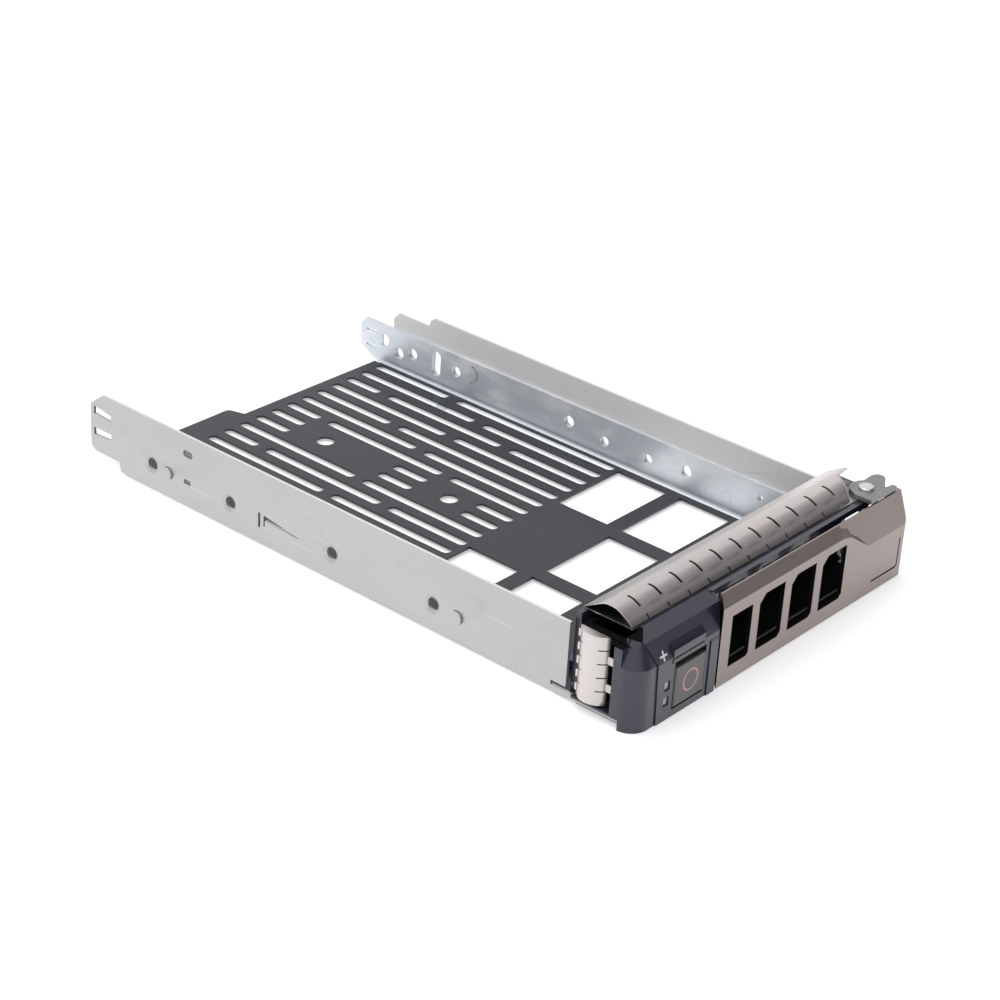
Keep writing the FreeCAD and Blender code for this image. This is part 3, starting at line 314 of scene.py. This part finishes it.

# Bezel. One injection moulding in dark slate plastic with a fine spark eroded texture; it is
# screwed to the plate and carries everything at the front. Its inside is painted near black:
# painted shade in the hollows, the corner notch and behind the side spring.
bezel_edge = 0.22
handle_room = ((27.8, -60.3, 1.5), (104.8, -45.05, 22.7))
button_room = ((1.7, -63.6, 1.5), (26.0, -47.4, 22.7))
corner_room = ((-1.2, -61.3, 20.0), (7.0, -46.2, 24.1))
spring_room = ((0.2, -57.6, 3.4), (3.0, -46.2, 22.6))


def slate_plastic(name, colour, roughness):
    """Moulded plastic with a fine even texture, a little paler where hands have polished it."""
    finish = Finish(name)
    pores = finish.noise(0.15, (1, 1, 1), 2.0)
    flow = finish.noise(24, (1, 1, 1), 3.0)
    scuff = finish.noise(3.5, (1, 1, 1), 5.0, 0.65).over(0.6, 0.8)
    lighter = [channel * 1.35 for channel in colour[:3]] + [1.0]
    worn = [channel * 1.3 + 0.012 for channel in colour[:3]] + [1.0]
    tint = finish.mix(flow, colour, lighter)
    tint = finish.mix(scuff * 0.35, tint, worn)
    return finish.wear(
        Base_Color=tint, Roughness=roughness + pores * 0.1 - scuff * 0.05, Coat_Weight=0.5,
        Normal=finish.bump(pores, 0.008, 0.3))


def shade_black():
    """Near black with hardly any gloss: painted shade for faces in hollows."""
    finish = Finish("shade_black")
    mottle = finish.noise(4, (1, 1, 1), 3.0)
    finish.feed(finish.shader.inputs["Specular IOR Level"], 0.1)
    return finish.wear(
        Base_Color=finish.mix(mottle, rgb(0.002, 0.002, 0.002), rgb(0.005, 0.005, 0.006)),
        Roughness=0.75 + mottle * 0.2)


bezel_plastic = slate_plastic("bezel_plastic", rgb(0.017, 0.0185, 0.034), 0.26)
painted_shade_black = shade_black()
dress("bezel", bezel_plastic, bezel_edge)
# Faces inside the bezel's hollows take painted shade, near black.
for room in (handle_room, button_room, corner_room, spring_room):
    paint("bezel", painted_shade_black, *room)
paint("bezel", painted_shade_black, *corner_room, UP)
paint("bezel", painted_shade_black, *spring_room, LEFT)

# Plus mark. A small white cross, pad printed on the bezel's bevel beside the button. It is a thin
# plate of ink, laid where a line from the front meets the bevel.
mark_place = (8.2, 18.5)
mark_length = 2.7
mark_stroke = 0.5
mark_rise = 0.03
mark_start_y = -80


def new_piece(name, mesh_maker, material, body):
    """Makes a mesh piece that rides on a body, with the material it is given."""
    mesh = bpy.data.meshes.new(name)
    cage = bmesh.new()
    mesh_maker(cage)
    cage.to_mesh(mesh)
    cage.free()
    mesh.materials.append(material)
    piece = bpy.data.objects.new(name, mesh)
    bpy.context.scene.collection.objects.link(piece)
    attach(piece, body)
    return piece


def raise_outline(cage, points, rise):
    """Closes an outline and raises it into a thin plate."""
    face = cage.faces.new([cage.verts.new(point) for point in points])
    made = bmesh.ops.extrude_face_region(cage, geom=[face])["geom"]
    moved = [item for item in made if isinstance(item, bmesh.types.BMVert)]
    bmesh.ops.translate(cage, verts=moved, vec=rise)
    bmesh.ops.recalc_face_normals(cage, faces=cage.faces)


def plus_mark(cage):
    """The cross, laid on the bevel where a line from the front meets it."""
    start = (DATUM + Vector((mark_place[0], mark_start_y, mark_place[1]))) * MM
    _, point, normal, _ = nodes["bezel"].ray_cast(start, Vector(REAR))
    across = Vector((1, 0, 0))
    upward = normal.cross(across)
    long = mark_length / 2
    thin = mark_stroke / 2
    corners = [(thin, thin), (thin, long), (-thin, long), (-thin, thin), (-long, thin),
               (-long, -thin), (-thin, -thin), (-thin, -long), (thin, -long), (thin, -thin),
               (long, -thin), (long, thin)]
    outline = [point + (across * u + upward * v) * MM for u, v in corners]
    raise_outline(cage, outline, normal * mark_rise * MM)


def printed_white():
    """White pad print, a little thin in places."""
    finish = Finish("printed_white")
    thin_ink = finish.noise(0.5, (1, 1, 1), 3.0).over(0.55, 0.75)
    return finish.wear(
        Base_Color=finish.mix(thin_ink * 0.4, rgb(0.80, 0.80, 0.82), rgb(0.45, 0.45, 0.5)),
        Roughness=0.5 + thin_ink * 0.2)


new_piece("plus_mark", plus_mark, printed_white(), "frame")

# Contact springs. Thin stainless strip, slit into fingers and rolled bright, so each finger
# mirrors the light a little differently. The top one is folded back under itself on the roof.
paler_to_right_x = (-30, 50)
shaded_front_y = (-86, -80)


def spring_strip(name, dark, light, grain_stretch):
    """Bright rolled stainless strip with a grain along it and warm handling haze. It is paler
    towards the right and has painted shade towards the front.
    """
    finish = Finish(name)
    grain = finish.noise(0.25, grain_stretch, 3.0)
    haze = finish.noise(9, (1, 1, 1), 4.0)
    warm = finish.noise(15, (1, 0.5, 0.5), 3.0).over(0.4, 0.7)
    # Paler towards the right.
    paler_to_right = finish.along(0).over(*paler_to_right_x)
    tint = finish.mix(haze, dark, light)
    tint = finish.mix(warm * 0.5, tint, rgb(0.68, 0.60, 0.57))
    tint = finish.mix(paler_to_right * 0.5, tint, rgb(0.76, 0.71, 0.69))
    # Painted shade: darker towards the front, where the strip turns away from the light.
    front_shade = 1 - finish.along(1).over(*shaded_front_y)
    tint = finish.mix(front_shade * 0.25, tint, rgb(0.34, 0.31, 0.30))
    return finish.wear(
        Base_Color=tint, Metallic=0.9, Roughness=0.24 + grain * 0.1 + haze * 0.06,
        Normal=finish.bump(grain, 0.006, 0.2))


strip_steel = spring_strip(
    "strip_steel", rgb(0.55, 0.52, 0.505), rgb(0.68, 0.64, 0.625), (0.03, 1, 1))
side_steel = spring_strip("side_steel", rgb(0.61, 0.57, 0.55), rgb(0.70, 0.66, 0.65), (1, 1, 0.04))
dress("side_spring", side_steel)
# spring_shade is painted shade for the underside of the top strip, inside its fold.
spring_shade = spring_strip(
    "spring_shade", rgb(0.07, 0.08, 0.09), rgb(0.12, 0.13, 0.14), (0.03, 1, 1))
hump_knots = ((-58.1, 24.8), (-57.3, 25.55), (-56.0, 26.4), (-54.0, 27.5), (-52.2, 28.0),
              (-49.4, 27.8), (-46.4, 26.25), (-44.2, 24.95))
hump_steps = 5
crown_from_z = 26.5
finger_shares = (0.25, 0.4, 0.55, 0.7, 0.85)
fold_points = ((-43.72, 24.7), (-43.62, 24.45), (-43.72, 24.24), (-44.2, 24.21), (-58.2, 24.21))
strip_left_x = 4.3
strip_right_x = (94.0, 98.8)
strip_flap_x = 104.2
flap_middle_x = 101.5
strip_flap_y = -50.3
strip_thick = 0.22
slit_start_x = 10.3
slit_pitch = 8.0
slit_count = 11
slit_wide = 0.75
slit_y = (-55.4, -51.4)
tick_offset = (0.1, 0.65)
tick_rear_y = -57.0
finger_crown = 0.1
strip_crease = math.radians(40)


def hump_section():
    """Points (y, z) along the strip: a smooth hump from the front, the fold and the flat leaf."""
    section = []
    last = len(hump_knots) - 1
    for index in range(last):
        near = [Vector(hump_knots[min(max(index + offset, 0), last)]) for offset in (-1, 0, 1, 2)]
        for step in range(hump_steps):
            t = step / hump_steps
            section.append(0.5 * (
                2 * near[1] + (near[2] - near[0]) * t
                + (2 * near[0] - 5 * near[1] + 4 * near[2] - near[3]) * t ** 2
                + (3 * near[1] - near[0] - 3 * near[2] + near[3]) * t ** 3))
    section.append(Vector(hump_knots[last]))
    return section + [Vector(point) for point in fold_points]


def strip_end(y):
    """Where the strip ends on the right: cut aslant, with a flap left at the rear."""
    front = hump_knots[0][0]
    share = (y - front) / (strip_flap_y - front)
    low, high = strip_right_x
    return strip_flap_x if y > strip_flap_y else low + (high - low) * share


def folded_strip(cage):
    """The strip as a grid along its length, without the faces where it is slit."""
    slits = [slit_start_x + slit_pitch * index for index in range(slit_count)]
    stations = {strip_left_x, *strip_right_x, flap_middle_x, strip_flap_x}
    for x in slits:
        stations.update((x, x + slit_wide, x + tick_offset[0], x + tick_offset[1]))
        stations.update(x + slit_pitch * share for share in finger_shares)
    stations = sorted(stations)
    section = hump_section()
    hump_rows = len(section) - len(fold_points)
    rows = []
    for index, (y, z) in enumerate(section):
        end_x = strip_end(y) if index < hump_rows else strip_right_x[1]
        row = []
        for x in stations:
            phase = (x - slit_start_x - slit_wide) / slit_pitch % 1.0
            crown = finger_crown * math.sin(math.pi * phase) ** 2 if z > crown_from_z else 0.0
            place = Vector((min(x, end_x), y, z + crown))
            row.append(cage.verts.new((DATUM + place) * MM))
        rows.append(row)
    for index in range(len(rows) - 1):
        middle_y = (section[index][0] + section[index + 1][0]) / 2
        for column in range(len(stations) - 1):
            middle_x = (stations[column] + stations[column + 1]) / 2
            slit = slit_y[0] < middle_y < slit_y[1] and any(
                x < middle_x < x + slit_wide for x in slits)
            tick = middle_y < tick_rear_y and any(
                x + tick_offset[0] < middle_x < x + tick_offset[1] for x in slits)
            if not (index < hump_rows and (slit or tick)):
                cage.faces.new((rows[index][column], rows[index][column + 1],
                                rows[index + 1][column + 1], rows[index + 1][column]))
    bmesh.ops.remove_doubles(cage, verts=cage.verts, dist=same_place_mm * MM)
    for face in cage.faces:
        face.smooth = True


strip = new_piece("top_spring_strip", folded_strip, strip_steel, "frame")
# The inner faces of the strip take spring_shade, painted shade.
strip.data.materials.append(spring_shade)
thicken = strip.modifiers.new("thickness", "SOLIDIFY")
thicken.thickness = strip_thick * MM
thicken.offset = -1
thicken.material_offset = 1
split = strip.modifiers.new("edges", "EDGE_SPLIT")
split.split_angle = strip_crease
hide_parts("top_spring")
for coil in ("handle_spring", "button_spring"):
    dress(coil, strip_steel)

# Handle and its pin. The handle is a thin casting with a taupe metallic coat, brushed along its
# length; inside it is a bare black moulding, deepened to near black as painted shade. The pin is
# bright steel.
handle_edge = 0.18
handle_hollow = ((31.0, -66.6, 2.0), (108.0, -50.0, 24.0))
handle_back = ((31.0, -66.6, 0.9), (110.5, -50.0, 23.9))
handle_top_inside = ((31.0, -64.6, 0.9), (110.5, -50.0, 23.9))
handle_bottom_inside = ((31.0, -66.0, 0.9), (110.5, -50.0, 5.0))
pin_edge = 0.06


def taupe_coat():
    """Metallic taupe coat with a long fine grain and tiny flakes."""
    finish = Finish("taupe_coat")
    grain = finish.noise(0.3, (0.04, 1, 1), 4.0)
    flake = finish.noise(0.12, (1, 1, 1), 1.0)
    cloud = finish.noise(16, (0.5, 1, 1), 3.0)
    tint = finish.mix(cloud, rgb(0.303, 0.252, 0.236), rgb(0.361, 0.309, 0.287))
    tint = finish.mix(flake.over(0.45, 0.7) * 0.35, tint, rgb(0.38, 0.34, 0.33))
    return finish.wear(
        Base_Color=tint, Metallic=0.8, Roughness=0.25 + grain * 0.08,
        Normal=finish.bump(grain, 0.003, 0.2))


taupe = taupe_coat()
dress("handle", taupe, handle_edge)
# The handle's inside takes the near black of painted shade, deeper than its bare moulding.
paint("handle", painted_shade_black, *handle_hollow, shown=FRONT)
paint("handle", painted_shade_black, *handle_back, REAR)
paint("handle", painted_shade_black, *handle_top_inside, DOWN)
paint("handle", painted_shade_black, *handle_bottom_inside, UP)


def bright_pin():
    """Turned steel with rings from the tool."""
    finish = Finish("bright_pin")
    rings = finish.noise(0.12, (1, 1, 0.2), 2.0)
    return finish.wear(
        Base_Color=finish.mix(rings, rgb(0.66, 0.65, 0.64), rgb(0.80, 0.80, 0.79)),
        Metallic=0.9, Roughness=0.2 + rings * 0.12, Normal=finish.bump(rings, 0.01, 0.3))


pin_steel = bright_pin()
dress("handle_pin", pin_steel, pin_edge)
dress("button_pin", pin_steel)

# Hinge lever and hinge plate. Stamped steel with a dull grey phosphate finish, rubbed brighter
# where the claw works against the chassis.
lever_edge = 0.1
hinge_plate_edge = 0.05


def dull_steel():
    """Grey phosphated steel."""
    finish = Finish("dull_steel")
    crystal = finish.noise(0.35, (1, 1, 1), 4.0)
    rubbed = finish.noise(5, (1, 1, 1), 4.0).over(0.5, 0.7)
    tint = finish.mix(crystal, rgb(0.24, 0.24, 0.245), rgb(0.34, 0.34, 0.34))
    tint = finish.mix(rubbed * 0.4, tint, rgb(0.44, 0.44, 0.44))
    return finish.wear(
        Base_Color=tint, Metallic=0.7, Roughness=0.38 + crystal * 0.1,
        Normal=finish.bump(crystal, 0.01, 0.3))


lever_steel = dull_steel()
dress("hinge_lever", lever_steel, lever_edge)
dress("hinge_plate", lever_steel, hinge_plate_edge)
for fastener in ("lever_rivets", "bezel_screws"):
    dress(fastener, lever_steel)

# Release button, its ring and the two light pipes beside it. The button is moulded in a warmer
# grey than the bezel; the ring is a second, coral coloured plastic; the pipes are clear.
button_edge = 0.2
pipe_edge = 0.12
button_plastic = slate_plastic("button_plastic", rgb(0.060, 0.051, 0.048), 0.32)
dress("release_button", button_plastic, button_edge)
ring_plastic = slate_plastic("ring_plastic", rgb(0.50, 0.27, 0.22), 0.3)
dress("button_ring", ring_plastic)
pipe_plastic = slate_plastic("pipe_plastic", rgb(0.46, 0.47, 0.47), 0.12)
for pipe in ("light_pipe_upper", "light_pipe_lower"):
    dress(pipe, pipe_plastic, pipe_edge)

# Studio. A white sweep that keeps the caddy's soft shadow, one broad lamp overhead and a room that
# is pale behind the caddy and dark to the right in front of it.
reach = 3.0
floor_colour = rgb(0.82, 0.82, 0.83)
floor_glow = 0.42
pale_side = rgb(0.90, 0.90, 0.91)
dark_side = rgb(0.05, 0.05, 0.055)
dark_from_to = (0.3, 0.92)
front_right = Vector((0.68, -0.72, 0.15)).normalized()
lamp_size = (0.9, 0.7)
lamp_place = Vector((-0.25, 0.1, 0.95))
lamp_power = 3.2
floor_mesh = bpy.data.meshes.new("floor")
floor_mesh.from_pydata(
    [(-reach, -reach, 0), (reach, -reach, 0), (reach, reach, 0), (-reach, reach, 0)], [],
    [(0, 1, 2, 3)])
floor = bpy.data.objects.new("floor", floor_mesh)
bpy.context.scene.collection.objects.link(floor)

sweep = Finish("white_sweep")
seen = sweep.node("LightPath", {}, {}, "Is Camera Ray")
mirrored = sweep.node("LightPath", {}, {}, "Is Glossy Ray")
through = sweep.node("LightPath", {}, {}, "Is Transmission Ray")
glow = sweep.mix((seen + mirrored + through) * floor_glow, rgb(0, 0, 0), rgb(1, 1, 1))
sweep.wear(Base_Color=floor_colour, Roughness=0.9, Emission_Color=glow)
sweep.feed(sweep.shader.inputs["Emission Strength"], 1.0)
sweep.feed(sweep.shader.inputs["Specular IOR Level"], 0.0)
floor_mesh.materials.append(sweep.material)

world = bpy.data.worlds.new("room")
bpy.context.scene.world = world
world.use_nodes = True
world.node_tree.nodes.clear()


class Room(Finish):
    """The world's nodes, built in the same way as a material's."""

    def __init__(self, tree):
        self.tree = tree


room = Room(world.node_tree)
toward = room.node("TexCoord", {}, {}, "Generated")
facing = room.node("VectorMath", {"operation": "DOT_PRODUCT"}, {0: toward, 1: front_right}, 1)
shade = room.mix(facing.over(*dark_from_to), pale_side, dark_side)
background = room.node("Background", {}, {"Color": shade, "Strength": 1.0})
room_output = world.node_tree.nodes.new("ShaderNodeOutputWorld")
world.node_tree.links.new(background.socket, room_output.inputs["Surface"])

lamp_data = bpy.data.lights.new("overhead", "AREA")
lamp_data.shape = "RECTANGLE"
lamp_data.size, lamp_data.size_y = lamp_size
lamp_data.energy = lamp_power
lamp = bpy.data.objects.new("overhead", lamp_data)
lamp.location = lamp_place
lamp.rotation_euler = (-lamp_place).to_track_quat("-Z", "Y").to_euler()
bpy.context.scene.collection.objects.link(lamp)

# Camera. It stands where the photograph was taken from: to the left of the button, looking down
# on the tray, rolled a little.
camera_data = bpy.data.cameras.new("camera")
camera_data.lens = 93.7
camera = bpy.data.objects.new("camera", camera_data)
azimuth = math.radians(-50.787)
elevation = math.radians(28.149)
roll = math.radians(3.669)
target = Vector((-4.909, -8.915, 10.53)) * MM
distance = 685.621 * MM
back = Vector((math.sin(azimuth) * math.cos(elevation),
               -math.cos(azimuth) * math.cos(elevation), math.sin(elevation)))
level = Vector((math.cos(azimuth), math.sin(azimuth), 0))
rise = back.cross(level)
right = math.cos(roll) * level + math.sin(roll) * rise
top = math.cos(roll) * rise - math.sin(roll) * level
camera.matrix_world = Matrix.Translation(target + back * distance) @ Matrix(
    (right, top, back)).transposed().to_4x4()
bpy.context.scene.collection.objects.link(camera)
bpy.context.scene.camera = camera
bpy.context.scene.view_settings.view_transform = "Standard"
